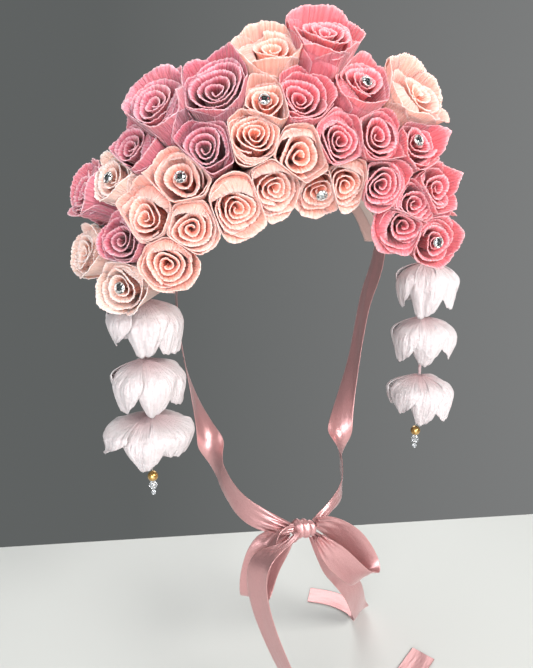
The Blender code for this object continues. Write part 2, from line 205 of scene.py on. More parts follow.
lens = bpy.data.cameras.new("camera")
lens.lens = 31.15
camera = bpy.data.objects.new("camera", lens)
camera.location = (-0.113, -0.394, -0.015)
camera.rotation_euler = (np.radians(75.5), 0, np.radians(-14.15))
bpy.context.scene.collection.objects.link(camera)
bpy.context.scene.camera = camera


# ---- The band ----
# A springy moulded band arches over the head from temple to temple. A woven lining is glued under
# it, and a strip of craft felt over it is the base that every rose is stuck to.
BAND_HALF, BAND_DROP = 80 * MM, 98 * MM  # half the width at the temples, and the drop to there
BAND_LOW, BAND_HIGH = -70.0, 62.0  # degrees of arc
HEAD_ROUND = 115 * MM
FELT_TOP = 6.1 * MM
FELT_FRONT, FELT_BACK = -37 * MM, 30 * MM  # how far the felt reaches ahead and behind
FELT_WALL, LINING_WALL = 2.2 * MM, 0.8 * MM
LINING_HALF = 7 * MM


def piece(name, patches, material, body, slot, *nodes, wall=0.0, smooth=True):
    """One mesh that rides on a body and stands for CAD nodes, from grids of points. Each patch holds
    points (rows, columns, 3), each point's place in mm on the cloth laid flat (rows, columns, 2), and
    optionally tone and edge (rows, columns). A wall thickens it."""
    points, faces, flats, tones, edges, start = [], [], [], [], [], 0
    for patch in patches:
        rows, cols = patch["points"].shape[:2]
        index = start + np.arange(rows * cols).reshape(rows, cols)
        quads = np.stack([index[:-1, :-1], index[:-1, 1:], index[1:, 1:], index[1:, :-1]], -1)
        faces.append(quads.reshape(-1, 4))
        points.append(patch["points"].reshape(-1, 3))
        flats.append(patch["flat"].reshape(-1, 2))
        tones.append(np.broadcast_to(patch.get("tone", 0.5), (rows, cols)).ravel())
        edges.append(np.broadcast_to(patch.get("edge", 9.0), (rows, cols)).ravel())
        start += rows * cols
    faces = np.concatenate(faces)
    mesh = bpy.data.meshes.new(name)
    mesh.from_pydata(np.concatenate(points), [], faces)
    uv = mesh.uv_layers.new(name="flat")
    uv.data.foreach_set("uv", np.concatenate(flats)[faces.ravel()].astype(np.float32).ravel())
    for label, values in (("tone", tones), ("edge", edges)):
        attribute = mesh.attributes.new(label, "FLOAT", "POINT")
        attribute.data.foreach_set("value", np.concatenate(values).astype(np.float32))
    work = bmesh.new()
    work.from_mesh(mesh)
    bmesh.ops.remove_doubles(work, verts=work.verts[:], dist=1e-6)
    if not wall:
        bmesh.ops.recalc_face_normals(work, faces=work.faces)
    work.to_mesh(mesh)
    work.free()
    mesh.polygons.foreach_set("use_smooth", np.full(len(mesh.polygons), smooth))
    mesh.materials.append(material)
    obj = bpy.data.objects.new(name, mesh)
    bpy.context.scene.collection.objects.link(obj)
    if wall:
        solid = obj.modifiers.new("wall", "SOLIDIFY")
        solid.thickness, solid.offset = wall, 0.0
    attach(obj, body)
    if nodes:
        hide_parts(*nodes)
    return obj


def outward(degrees):
    """Unit vectors square to the band's ellipse."""
    t = np.radians(degrees)
    n = np.stack([np.sin(t) / BAND_HALF, 0 * t, np.cos(t) / BAND_DROP], -1)
    return n / np.linalg.norm(n, axis=-1, keepdims=True)


def arch(degrees, offset=0.0, y=0.0):
    """Points of the band's inner ellipse, moved outwards by offset and fore or aft by y."""
    t = np.radians(degrees)
    base = np.stack([BAND_HALF * np.sin(t), y + 0 * t, BAND_DROP * (np.cos(t) - 1)], -1)
    return base + outward(degrees) * np.asarray(offset)[..., None]


def strap(low, high, front, back, offset, crown_drop, columns, ripple=0.0):
    """A strip along the arch from the low to the high degree. y runs from front to back, the height over the
    band's ellipse falls with y squared, and two crossed sines ripple it."""
    a, s = np.meshgrid(np.linspace(low, high, 121), np.linspace(0, 1, columns))
    y = front(a) + (back - front(a)) * s
    waves = ripple * np.sin(a * 0.9 + 3 * s + 1) * np.sin(a * 0.31 + 5 * s)
    points = arch(a, offset - crown_drop * y**2 + waves, y)
    flat = np.stack([np.radians(a) * 90, y / MM], -1)
    return {"points": points, "flat": flat}


def band_material(name, colour, dark, weave, distance, roughness):
    """Matted or woven fibres: fine noise tints and lifts the surface, and broad noise evens it out."""
    finish = Finish(name, Roughness=roughness, Sheen_Weight=0.25)
    place = finish.place()
    fibres = finish.noise(place, weave, 6.0, 0.65)
    patches = finish.noise(place, 60.0, 2.0)
    tint = finish.mix(fibres.clamped(0.3, 0.7), dark, colour)
    tint = finish.mix(patches * 0.25, tint, colour)
    return finish.ends(Base_Color=tint, Normal=finish.bump(fibres, distance, 0.8))


def felt_front(degrees):
    """The felt's front edge, in y: its full reach over the brow, narrowing towards both ends."""
    share = np.minimum(1, np.minimum(1 - 0.6 * (degrees - 24) / 42, 1 - 0.5 * (-60 - degrees) / 20))
    return FELT_FRONT * share


piece(
    "felt_strip",
    [strap(-80, 66, felt_front, FELT_BACK, FELT_TOP - 1.2 * MM, 1 / (2 * HEAD_ROUND), 21, 0.25 * MM)],
    band_material("craft_felt", (0.74, 0.50, 0.45), (0.60, 0.36, 0.32), 1400.0, 0.0004, 0.95),
    "crown", "felt", "felt_base", wall=FELT_WALL,
)
piece(
    "lining_ribbon",
    [strap(BAND_LOW, BAND_HIGH, lambda a: 0 * a - LINING_HALF, LINING_HALF, LINING_WALL / 2, 0.0, 9)],
    band_material("lining_weave", (0.84, 0.70, 0.64), (0.70, 0.54, 0.48), 2600.0, 0.0002, 0.8),
    "crown", "lining", "band_lining", wall=LINING_WALL,
)

finish = Finish("moulded_band", Roughness=0.42)
core_grain = finish.noise(finish.place(), 500.0, 3.0)
core_colour = finish.mix(core_grain, (0.80, 0.76, 0.72), (0.86, 0.83, 0.80))
core_material = finish.ends(Base_Color=core_colour, Normal=finish.bump(core_grain, 0.0001, 0.4))
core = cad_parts["headband_core"]
core.data.materials.clear()
core.data.materials.append(core_material)


# ---- The roses ----
# Each rose is a strip of crepe paper rolled into a heart, with broad petals wrapped round it. The
# grain of the crepe runs up the petals, and their stretched rims are pale, ragged and rolled back.
# The roses stand so close that their petals are pressed flat on each other.
PAPER_WALL = 0.42 * MM
LOOSE, FULL, FULLEST = 0.82, 1.08, 0.80  # how loosely a heart is rolled, how far it swells, and the limit
STANDS_ASIDE = 0.13  # how far a hooded heart leaves the middle, as a share of the mouth
SQUEEZE, NEAR = 2.5 * MM, 14 * MM  # the depth that is pressed, and the gap between mouths that still touch
BACK_DETAIL = 0.64  # the back rows' grids, against the front's
HEADS = 4  # in each row of a bank

PINK, DUSTY, PEACH, CREAM, BLUSH = (
    "crepe_pink", "crepe_dusty_pink", "crepe_peach", "crepe_cream", "crepe_blush",
)
# The deep colour is painted shade between the rolls, tinted like light soaking through the paper; then the
# colour of the petals, and the stretched rim.
PAPERS = {
    PINK: ((0.42, 0.022, 0.040), (0.86, 0.175, 0.215), (0.96, 0.42, 0.45)),
    DUSTY: ((0.15, 0.010, 0.018), (0.60, 0.145, 0.200), (0.84, 0.43, 0.48)),
    PEACH: ((0.97, 0.24, 0.13), (1.00, 0.435, 0.355), (1.00, 0.60, 0.54)),
    CREAM: ((0.86, 0.36, 0.27), (0.93, 0.57, 0.49), (0.96, 0.71, 0.66)),
    BLUSH: ((0.76, 0.27, 0.25), (0.92, 0.50, 0.46), (0.96, 0.66, 0.62)),
}


def crepe(name, deep, petal, rim):
    """Crepe paper: noise drawn out along the petal makes the grain and paints shade in the grooves between
    its ribs, tone says how far out of the rolls a point lies and paints shade deep in the rolls and light
    further out, the last millimetre at the rim is pale, and light soaks through the thin sheet."""
    finish = Finish(
        name, Roughness=0.82, Sheen_Weight=0.35, Sheen_Roughness=0.45, Sheen_Tint=(1.0, 0.86, 0.84, 1),
        Subsurface_Weight=0.55, Subsurface_Scale=0.004, Subsurface_Radius=(1.0, 0.6, 0.5),
        Specular_IOR_Level=0.25,
    )
    flat = finish.flat()
    tone = finish.attribute("tone")
    edge = finish.attribute("edge")
    ribs = finish.noise(finish.stretched(flat, (1.0, 0.03, 1.0)), 0.72, 1.6, 0.55)
    fine = finish.noise(finish.stretched(flat, (1.0, 0.12, 1.0)), 2.4, 2.0, 0.6)
    blotch = finish.noise(finish.place(), 90.0, 2.0)
    middle = tuple(0.45 * d + 0.55 * p for d, p in zip(deep, petal))
    light = tuple(0.6 * p + 0.4 * r for p, r in zip(petal, rim))
    # The ramp is painted shade: dark deep in the rolls, paler further out.
    depth = tone + (blotch - 0.5) * 0.25
    stops = [(0.04, deep), (0.36, middle), (0.70, petal), (1.0, light)]
    tint = finish.node("ValToRGB", {"stops": stops}, {"Fac": depth})
    ridge = ribs.clamped(0.40, 0.60)
    # Painted shade in the grooves between the crepe's ribs.
    groove_shade = tuple(0.80 * p**0.5 for p in petal)
    tint = finish.mix((1.0 - ridge) * 0.42, tint, groove_shade, "MULTIPLY")
    worn = 1.0 - (edge + (fine - 0.5) * 1.6).clamped(0.1, 1.3)
    tint = finish.mix(worn * (0.45 + ridge * 0.45), tint, rim)
    return finish.ends(Base_Color=tint, Normal=finish.bump(ribs * 0.8 + fine * 0.2, 0.0026, 0.9))


CREPES = {slot: crepe(slot, *colours) for slot, colours in PAPERS.items()}


def polar(r, turn, z):
    """Points from radius, angle and height."""
    return np.stack([r * np.cos(turn), r * np.sin(turn), z + 0 * turn], -1)


def bases(root, tip):
    """The rose's own axes: x to the viewer's right and y up as one looks into its mouth, z out of it."""
    z = (tip - root) / np.linalg.norm(tip - root)
    y = np.array([0, 0.35, 1.0]) - z * (0.35 * z[1] + z[2])
    y /= np.linalg.norm(y)
    return np.stack([np.cross(y, z), y, z])


def coil(rng, mouth, length, turns, heart, dip, spin, aside, detail):
    """The rolled heart: theta runs round the roll and v up the strip. The rim's radius grows with theta, in
    two slow waves, and its height falls by dip towards the middle. Below the rim the strip slopes inwards by
    a lip, 1 - exp(-down), and then down the cone. The rim's points jump a little, in and out and up."""
    turns = turns * LOOSE
    heart = min(heart * FULL, FULLEST)
    count = int((turns * 30 + turns * heart * mouth / MM * 3.6) * detail)
    top = 2 * np.pi * turns
    theta = top * np.linspace(0.03, 1, count) ** 0.64
    share = theta / top
    v = 1 - (1 - np.linspace(0, 1, 8)[:, None]) ** 1.7
    a, b, c = rng.uniform(0, 6.3, 3)
    depth = 0.5 * length
    down = depth * (1 - v)
    rim = 1.0 * MM + (heart * mouth - 1.0 * MM) * share**1.08
    rim = rim * (1 + 0.10 * np.sin(2 * theta + a) * share + 0.07 * np.sin(2.9 * theta + b))
    lip = (0.45 + 0.55 * share) * (heart * mouth / turns) * 0.80
    radius = rim - lip * (1 - np.exp(-down / (2.0 * MM))) - 0.20 * rim * (down / depth) ** 1.2
    jag = rng.uniform(-1, 1, count)
    radius = radius + (0.10 + 0.25 * share) * MM * v**6 * jag
    height = length - dip * (1 - share**0.8) + 1.0 * MM * np.sin(1.63 * theta + c) * share
    height = height - down + 0.42 * MM * v**6 * rng.uniform(-1, 1, count)
    turn = theta + spin
    x = radius * np.cos(turn) + aside[0] * v
    y = radius * np.sin(turn) + aside[1] * v
    steps = np.hypot(np.diff(rim * np.cos(theta)), np.diff(rim * np.sin(theta)))
    run = np.concatenate([[0], np.cumsum(steps)])
    flat = np.stack([run / MM + 0 * v, depth / MM * v + 0 * theta], -1)
    below = down / MM + 0 * theta
    # The tone sets painted shade: darker further below the rim and towards the middle of the roll.
    tone = np.clip(1 - below / (2.8 + 3.4 * share), 0, 1) * (0.42 + 0.48 * share**0.5)
    return {"points": np.stack([x, y, height], -1), "flat": flat, "tone": tone, "edge": below}


def petal(rng, mouth, length, layer, detail, angle, half, size=1.0, curl=1.6, lift=1.0, point=0.0, hood=0.0):
    """An outer petal: u runs across it and v up it. It climbs a cone from the root to a knee, and then
    follows an arc of the given reach whose slope turns by curl, outwards, or inwards over the heart in a
    hood, whose reach is a share of the mouth. Its sides fall as u to the power 2.4, sines of u ruffle
    it towards the rim, and point draws the middle of the rim out to a tip."""
    cols, rows = int(48 * detail) + 1, int(15 * detail) + 1
    u, v = np.meshgrid(np.linspace(-1, 1, cols), 1 - (1 - np.linspace(0, 1, rows)) ** 1.3)
    a, b, c = rng.uniform(0, 6.3, 3)
    knee = 0.60 if hood else 0.84
    base = np.minimum(v / knee, 1)
    along_arc = np.maximum(0, v - knee) / (1 - knee)
    radius = mouth * (0.30 + (0.93 * size - 0.30) * base**1.15) + 0.40 * MM * layer * base
    sides = 0.10 + 22 * point
    height = length * lift * base * (0.965 - sides * np.abs(u) ** 2.4)
    turn = curl * (0.55 + 0.45 * np.cos(u * 1.4 + 0.4 * np.sin(a)))
    turn = np.where(np.abs(turn) < 0.25, 0.25, turn)
    if hood:
        rise, reach = np.radians(88), hood * mouth * (1 - 0.55 * np.abs(u) ** 2.2)
    else:
        rise = np.radians(82 - 6 * size)
        reach = (0.16 * mouth + 0.8 * MM) * (1 - 0.5 * np.abs(u) ** 2.4)
    reach = reach + point * np.exp(-np.abs(u / 0.16) ** 1.3)
    radius = radius + reach * (np.sin(rise) - np.sin(rise - turn * along_arc)) / turn
    height = height + reach * (np.cos(rise - turn * along_arc) - np.cos(rise)) / turn
    ruffle = (0.5 * v**4 + 0.5 * along_arc**2) * mouth * (0.02 if hood else 0.045)
    radius = radius + ruffle * np.sin(4.2 * u + b) + 0.5 * ruffle * np.sin(9.7 * u + c)
    height = height + 0.7 * ruffle * np.sin(5.6 * u + a)
    radius = radius + 0.05 * mouth * u * base + rng.uniform(-0.25, 0.25, cols) * MM * along_arc**3
    height = height + rng.uniform(-0.5, 0.5, cols) * MM * along_arc**3
    around = np.radians(angle + half * u * (0.86 + 0.14 * base))
    flat = np.stack([np.radians(half) * u * mouth * size / MM, v * (length + reach) / MM], -1)
    side_gap = (1 - np.abs(u)) * np.radians(half) * mouth / MM * 1.1
    rim_gap = np.minimum((1 - v) * 0.30 * length / MM, side_gap)
    # The tone sets painted shade: darker towards the petal's root, lighter up its arc.
    tone = 0.36 + 0.40 * v + 0.12 * along_arc
    return {"points": polar(radius, around, height), "flat": flat, "tone": tone, "edge": rim_gap}


def press(points, place, neighbours):
    """Keeps the points on the rose's side of the plane between it and each neighbour. The last few
    millimetres before the plane are squeezed: a distance d becomes -s exp(-(d + s) / s)."""
    root, tip, mouth = place
    for root2, tip2, mouth2 in neighbours:
        apart = np.linalg.norm(tip2 - tip)
        if apart > mouth + mouth2 + NEAR or np.allclose(tip, tip2):
            continue
        low, high = (root + root2) / 2, tip + (tip2 - tip) * mouth / (mouth + mouth2)
        along = (high - low) / np.linalg.norm(high - low)
        normal = (tip2 - tip) - along * np.dot(tip2 - tip, along)
        normal /= np.linalg.norm(normal)
        gap = (points - high) @ normal
        pressed = np.where(gap > -SQUEEZE, -SQUEEZE * np.exp(-(gap + SQUEEZE) / SQUEEZE), gap)
        points = points + (pressed - gap)[..., None] * normal
    return points


def stand_aside(hood):
    """How far a heart leaves the middle of the mouth, away from its hood, in shares of the mouth."""
    toward = np.radians(hood[0])
    return -STANDS_ASIDE * hood[1] * np.array([np.cos(toward), np.sin(toward)])


def rose(name, seed, place, neighbours, detail, paper, turns, heart, dip, spin, hood, petals, node, lighter):
    """The coil, three broad petals hugging it, the hood and the outer petals, pressed between the
    neighbours. The coil stands aside from the hood."""
    rng = np.random.default_rng(seed)
    root, tip, mouth = place
    length = np.linalg.norm(tip - root)
    frame_axes = bases(root, tip)
    aside = stand_aside(hood) * mouth
    heart = heart * (1 - 0.05 * hood[1])
    tall = length - 0.05 * mouth
    patches = [coil(rng, mouth, tall, turns, heart, dip, np.radians(spin), aside, detail)]
    step = (0.97 - heart) / 4
    for k in range(3):
        angle = spin + 360 * heart + 131 * k + rng.uniform(-20, 20)
        high = rng.uniform(0.93, 1.01 - 0.05 * hood[1])
        inner = (angle, rng.uniform(84, 104), heart + 0.03 + step * (k + 0.6), rng.uniform(0.5, 1.1), high)
        hug = petal(rng, mouth, length, 0, detail, *inner)
        hug["points"][..., :2] += aside * (1 - (k + 1) / 4) * np.clip(hug["points"][..., 2:] / length, 0, 1)
        patches.append(hug)
    if hood[1]:
        over = (hood[0], 84, 1.0, -1.45 - 0.55 * hood[1], 0.885, 0.0, 0.3 + 0.5 * hood[1])
        patches.append(petal(rng, mouth, length, 1, detail, *over))
    for layer, shape in enumerate(petals):
        patches.append(petal(rng, mouth, length * rng.uniform(0.97, 1.03), layer, detail, *shape))
    for patch in patches:
        patch["points"] = press(root + patch["points"] @ frame_axes, place, neighbours)
        patch["tone"] = patch["tone"] + lighter
    piece(name, patches, CREPES[paper], "crown", paper, node, wall=PAPER_WALL)


def rose_line(degrees, lean, reach, y, lift=0.0):
    """The root on the felt at y, and the middle of the mouth: reach mm from the band along a ray that leans
    forward from the outward direction."""
    root = arch(degrees, FELT_TOP + lift - y * y / (2 * HEAD_ROUND), y)
    t = np.radians(lean)
    ray = outward(degrees) * np.cos(t) + np.array([0, -np.sin(t), 0])
    return root, arch(degrees) + ray * reach * MM


# Name, degrees of arc, forward lean, reach and mouth radius in mm, paper, then the heart: turns, share
# of the mouth, dip in mm, spin in degrees; then the angle and reach of the petal that hoods it, and
# the other outer petals: angle, half width in degrees, and optionally size, curl, lift and point.
ROSES = (
    ("top_centre", -10, 45, 87, 18.5, PEACH, 3.9, 0.72, 3, 40, (180, 0.75),
     [(270, 70, 0.98, 0.9), (185, 70, 1.12, 0.5), (75, 66, 1.1, 1.2), (330, 52, 1, 1, 1, 0.005),
      (120, 50, 1.08, 0.7)]),
    ("top_left", 1, 44, 93, 22, PINK, 4.3, 0.62, 1, 200, (215, 0.7),
     [(255, 66, 0.94, 1.4), (300, 60, 0.98, 1.2), (190, 52, 0.98, 2.2), (140, 48, 1, 2.4),
      (15, 60, 1.02, 0.8), (80, 62, 1.03, 0.7)]),
    ("upper_right_outer", -36, 41, 86, 21, DUSTY, 4.5, 0.70, 3, 100, (-15, 0.85),
     [(200, 70, 1, 1.3), (110, 66, 1.04, 1.5), (280, 66, 1.04, 1), (345, 58, 1.1, 0.8, 1, 0.007),
      (40, 50, 1.04, 1.2)]),
    ("upper_right_inner", -25, 52, 86, 20.5, DUSTY, 5.3, 0.76, 5, 10, (135, 0.3),
     [(250, 72, 1, 1), (150, 66, 1.08, 1.8), (60, 62, 1.08, 1.4, 1, 0.005), (330, 66, 1.04, 0.9)]),
    ("gem_top", -15, 65, 81, 15.5, PEACH, 4.1, 0.76, 2, 150, (0, 0.35),
     [(0, 74, 1.08, 0.7), (110, 62, 1.04, 1), (225, 66, 1.06, 0.9), (290, 60, 1.1, 0.8)]),
    ("dark_heart", -6, 66, 81, 17.5, PINK, 4.3, 0.66, 6, 60, (0, 0),
     [(250, 72, 0.92, 1), (10, 70, 1, 1.1), (110, 62, 1, 1.2), (300, 58, 1.08, 1),
      (200, 56, 1.06, 1)]),
    ("gem_upper_left", 11, 58, 84, 17, PINK, 3.7, 0.72, 2, 250, (205, 0.55),
     [(270, 76, 1.02, 1), (190, 52, 1, 1.6), (10, 62, 1.06, 0.8), (85, 66, 1.16, 0.5)]),
    ("wide_left", 25, 52, 86, 22, PEACH, 2.9, 0.58, 0, 160, (215, 0.9),
     [(180, 66, 0.96, 1.2), (255, 60, 1, 1), (325, 48, 1.12, 2.4), (85, 62, 1.12, 0.7),
      (35, 50, 1.02, 0.8), (130, 50, 1.06, 1)]),
    ("bud_right", -46, 42, 80, 15.5, DUSTY, 4.3, 0.76, 3, 80, (0, 1),
     [(200, 70, 1, 0.5), (80, 60, 1.08, 0.8, 1, 0.007), (320, 72, 1.04, 0.6)]),
    ("middle_right", -35, 67, 79, 16, DUSTY, 4.5, 0.72, 5, 20, (30, 0.4),
     [(160, 74, 1.04, 1.6), (40, 62, 1.06, 1), (280, 72, 1.06, 1), (215, 60, 1.1, 1.2)]),
    ("middle_orange", -22, 75, 78, 16, PEACH, 5.3, 0.72, -1, 130, (250, 0.25),
     [(190, 70, 0.98, 1), (300, 66, 1, 1.2), (60, 62, 1.02, 0.9), (240, 66, 1.1, 0.8),
      (130, 52, 1.08, 0.8)]),
    ("middle_centre", -9, 88, 74, 17.5, PEACH, 3.9, 0.74, -1, 220, (95, 0.6),
     [(90, 72, 0.98, 0.6), (200, 70, 1.02, 0.6), (320, 72, 1.04, 0.7), (265, 60, 1.1, 0.8),
      (20, 56, 1.1, 0.7)]),
    ("middle_left", 6, 82, 76, 15.5, PINK, 4.9, 0.76, 1, 300, (130, 0.6),
     [(250, 70, 1.04, 1), (130, 66, 1.06, 1), (10, 66, 1.08, 0.8)]),
    ("oval_left", 20, 75, 78, 16, PINK, 3.5, 0.68, 3, 30, (0, 0.7),
     [(180, 62, 1.08, 1), (70, 60, 1.05, 1), (310, 66, 1.08, 0.8, 1, 0.005), (240, 58, 1.02, 1)]),
    ("gem_outer_left", 32, 68, 80, 15, PINK, 3.3, 0.72, 2, 90, (-20, 0.5),
     [(20, 70, 1.14, 0.5, 1, 0.005), (100, 60, 1.06, 0.9), (200, 66, 1.04, 0.9), (290, 66, 1.06, 0.9)]),
    ("gem_outer_right", -54, 40, 78, 14, CREAM, 3.3, 0.74, 2, 10, (60, 0.4),
     [(90, 70, 1.10, 1), (190, 66, 1.02, 0.9), (290, 72, 1.05, 1), (0, 56, 1.1, 1.3)]),
    ("gem_middle_right", -45, 67, 75, 17, PEACH, 3.3, 0.68, 3, 180, (100, 0.45),
     [(120, 72, 1.04, 1), (10, 66, 1.02, 1), (260, 72, 1.02, 1.2), (180, 56, 1.1, 0.8, 1, 0.005)]),
    ("side_right", -59, 24, 78, 17, DUSTY, 3.7, 0.72, 2, 60, (50, 0.75),
     [(60, 66, 1.04, 1), (150, 62, 1.06, 1.2), (250, 70, 1, 1), (330, 60, 1.06, 0.9)]),
    ("fan_right", -58, 62, 73, 18, PEACH, 4.3, 0.66, 0, 120, (60, 0.9),
     [(300, 66, 0.98, 1), (210, 62, 1.02, 1.2), (150, 52, 1.06, 1.4), (75, 60, 1.12, 0.4),
      (20, 46, 1.06, 0.6)]),
    ("temple_right", -55, 82, 71, 15.5, PEACH, 4.3, 0.76, 0, 240, (85, 0.95),
     [(100, 70, 1.04, 0.9), (220, 70, 1.04, 1), (340, 68, 1.06, 0.9)]),
    ("front_right", -40, 94, 72, 17, PEACH, 4.7, 0.68, 0, 0, (95, 0.95),
     [(95, 70, 1.1, 0.5), (200, 66, 1.02, 0.9), (320, 72, 1.02, 1), (265, 58, 1.08, 0.9)]),
    ("front_centre", -22, 98, 71, 17, PEACH, 4.3, 0.64, 0, 90, (95, 0.8),
     [(100, 72, 1.06, 0.6), (215, 70, 1, 0.9), (330, 72, 1, 0.9), (270, 56, 1.1, 0.6)]),
    ("gem_front", 2, 107, 68, 15.5, PEACH, 3.7, 0.68, 2, 30, (150, 0.4),
     [(190, 60, 1, 0.9), (260, 60, 1.04, 0.8), (70, 66, 1.04, 0.9), (340, 66, 1.04, 0.7)]),
    ("front_left", 15, 100, 70, 15, PEACH, 4.3, 0.72, -1, 150, (70, 0.55),
     [(250, 72, 1.06, 0.8), (130, 62, 1.04, 1), (20, 66, 1.14, 0.4, 1, 0.004)]),
    ("brow_left", 30, 92, 74, 15.5, PINK, 4.9, 0.76, 1, 60, (20, 0.5),
     [(270, 72, 1.04, 0.9), (150, 66, 1.04, 1), (30, 66, 1.08, 0.8)]),
    ("small_right", -66, 54, 72, 15, DUSTY, 3.9, 0.76, 2, 0, (40, 0.9),
     [(80, 66, 1.02, 1.1), (190, 66, 1.04, 0.9), (310, 70, 1.04, 1)]),
    ("cream_right", -72, 30, 70, 15, CREAM, 3.7, 0.72, 1, 90, (50, 0.9),
     [(70, 66, 1.04, 0.9), (180, 70, 1.1, 0.8), (290, 70, 1.06, 0.9)]),
    ("gem_low_right", -78, 57, 68, 15, CREAM, 3.3, 0.68, 2, 200, (60, 0.6),
     [(90, 66, 1.02, 0.9), (200, 66, 1.06, 0.8), (310, 60, 1.1, 0.5, 1, 0.005)]),
    ("low_right", -68, 78, 70, 15.5, PEACH, 4.3, 0.74, 0, 60, (90, 1),
     [(100, 70, 1.04, 0.9), (210, 66, 1.06, 0.8), (310, 66, 1.1, 0.6)]),
    ("temple_left", 50, 97, 68, 16, PINK, 3.7, 0.68, 2, 120, (160, 0.8),
     [(210, 62, 1.12, 1.8), (280, 66, 1.02, 1.2), (100, 62, 1, 0.9), (20, 60, 1.06, 0.8)]),
    ("pointed_left", 46, 74, 76, 14.5, PINK, 3.3, 0.68, 1, 40, (185, 0.6),
     [(30, 56, 1.10, 0.5, 0.98, 0.004), (110, 60, 1.04, 0.8), (230, 66, 1.04, 0.9),
      (320, 58, 1.08, 0.7, 0.98, 0.002)]),
    ("small_left", 45, 87, 72, 14, PINK, 3.7, 0.72, 1, 330, (170, 0.6),
     [(60, 66, 1.04, 0.8), (180, 66, 1.04, 0.9), (300, 66, 1.06, 0.9)]),
    ("gem_low_left", 62, 84, 70, 14.5, PINK, 3.3, 0.68, 2, 260, (130, 0.5),
     [(80, 62, 1.06, 0.8), (190, 62, 1.04, 0.8), (290, 62, 1.1, 0.4), (10, 50, 1.1, 0.7)]),
)

# Behind them two more rows stand on the back of the felt, in three banks: the bank's name, its first and
# last degree of arc, and the papers of its heads. A row has its lean, its share of the felt's back half
# and its mouth radius in mm.
BACK_BANKS = (
    ("back_roses_right", -77, -29, (CREAM, DUSTY, BLUSH, DUSTY)),
    ("back_roses_centre", -28, 21, (DUSTY, BLUSH, PEACH, PINK)),
    ("back_roses_left", 22, 66, (PEACH, PINK, BLUSH, PINK)),
)
BACK_ROWS = ((3, 0.42, 15.5), (-27, 0.85, 16.5))


def ring_of(rng, count, start):
    """Petals set evenly round a rose, every second one first, with small differences."""
    angles = start + 360.0 / count * ((np.arange(count) * 2) % count) + rng.uniform(-9, 9, count)
    return [(a, rng.uniform(54, 68), rng.uniform(0.96, 1.07), rng.uniform(0.8, 1.6)) for a in angles]


places, makings = [], []
for seed, (name, degrees, lean, reach, mouth, *rest) in enumerate(ROSES):
    degrees = np.float64(degrees)
    y = 0.84 * felt_front(degrees) * min(1.0, lean / 95.0)
    places.append((*rose_line(degrees, lean, reach, y, 0.4 * MM), mouth * MM))
    makings.append((name + "_rose", seed, *rest, "rose_" + name))
for bank, low, high, papers in BACK_BANKS:
    for row, (lean, behind, mouth) in enumerate(BACK_ROWS):
        for k in range(HEADS):
            degrees = np.float64(low + (high - low) * (k + 0.5 + 0.22 * (row - 0.5)) / HEADS)
            seed = 1000 + int(degrees * 7) + 50 * row
            rng = np.random.default_rng(seed + 900)
            turned = lean + rng.uniform(-3, 3)
            reach = 55 + 12 * np.cos(np.radians(degrees)) ** 2 + rng.uniform(-2, 1)
            places.append((*rose_line(degrees, turned, reach, behind * FELT_BACK), mouth * MM))
            petals = ring_of(rng, 5, rng.uniform(0, 360))
            heart = (rng.uniform(3.0, 4.4), rng.uniform(0.60, 0.74), rng.uniform(0, 3), rng.uniform(0, 360))
            hood = (rng.uniform(0, 360), rng.uniform(0, 0.9))
            makings.append((f"{bank}_{row}_{k}", seed, papers[(k + row) % 4], *heart, hood, petals, bank))

# Some roses are cut from a paler or a deeper part of the sheet.
LIGHTER = {
    "fan_right": 0.20, "gem_middle_right": 0.12, "temple_right": 0.08,
    "upper_right_inner": -0.10, "middle_right": -0.08, "middle_orange": -0.14,
    "dark_heart": -0.08, "gem_upper_left": 0.10, "front_centre": 0.10,
    "front_left": 0.08, "wide_left": 0.12, "upper_right_outer": 0.10,
    "side_right": 0.10,
}
mouths = {}
for place, (name, seed, paper, turns, heart, dip, spin, hood, petals, node) in zip(places, makings):
    detail = 1.0 if node.startswith("rose") else BACK_DETAIL
    shape = (turns, heart, dip * MM, spin, hood, petals)
    rose(name, seed, place, places, detail, paper, *shape, node, LIGHTER.get(node[5:], 0.0))
    mouths[name] = (*place, hood)


# ---- The rhinestones ----
# Eight roses hold a foil-backed stone in their hearts, 7 mm across, in a pressed silver cup whose
# four claws are bent over the girdle.
STONE = 2.9 * MM
CUP_SHARE = 0.86  # the cup, against its profile in mm
CLAWS, CLAW_OUT, CLAW_UP = 4, 2.95 * MM, 0.65 * MM
CLAW_IN, CLAW_RISE = 0.82, 0.57  # the way a claw leans over the girdle


def lathe(profile, count):
    """Radius and height pairs turned about z into a patch that closes on itself."""
    r, z = np.array(profile, float).T[:, :, None]
    turn = np.linspace(0, 2 * np.pi, count + 1)
    turn[-1] = 0.0
    flat = np.stack([turn * np.max(r) / MM + 0 * r, z / MM + 0 * turn], -1)
    return {"points": polar(r, turn, z), "flat": flat}


def at(patch, place, axes):
    """The patch turned to the axes and moved to the place."""
    return {**patch, "points": place + patch["points"] @ axes}


def faceted(rings, count):
    """A closed body of flat facets from rings of count corners: radius, height, and a turn in shares
    of half a facet. A point at the middle closes each end."""
    turn = 2 * np.pi * (np.arange(count + 1) % count) / count
    rows = [polar(r, turn + step * np.pi / count, z) for r, z, step in rings]
    points = np.stack([rows[0] * [0, 0, 1], *rows, rows[-1] * [0, 0, 1]])
    return {"points": points, "flat": points[..., :2] / MM}


# A round brilliant, in shares of its radius: a flat table, a belt of kites, a girdle, a short pavilion.
STONE_RINGS = np.array([(0.56, 0.40, 0), (0.80, 0.24, 0.5), (1, 0.05, 0), (1, -0.05, 0), (0.5, -0.38, 0.5)])

finish = Finish("foiled_stone", Roughness=0.04, Metallic=1.0, Coat_Weight=1.0, Coat_Roughness=0.01)
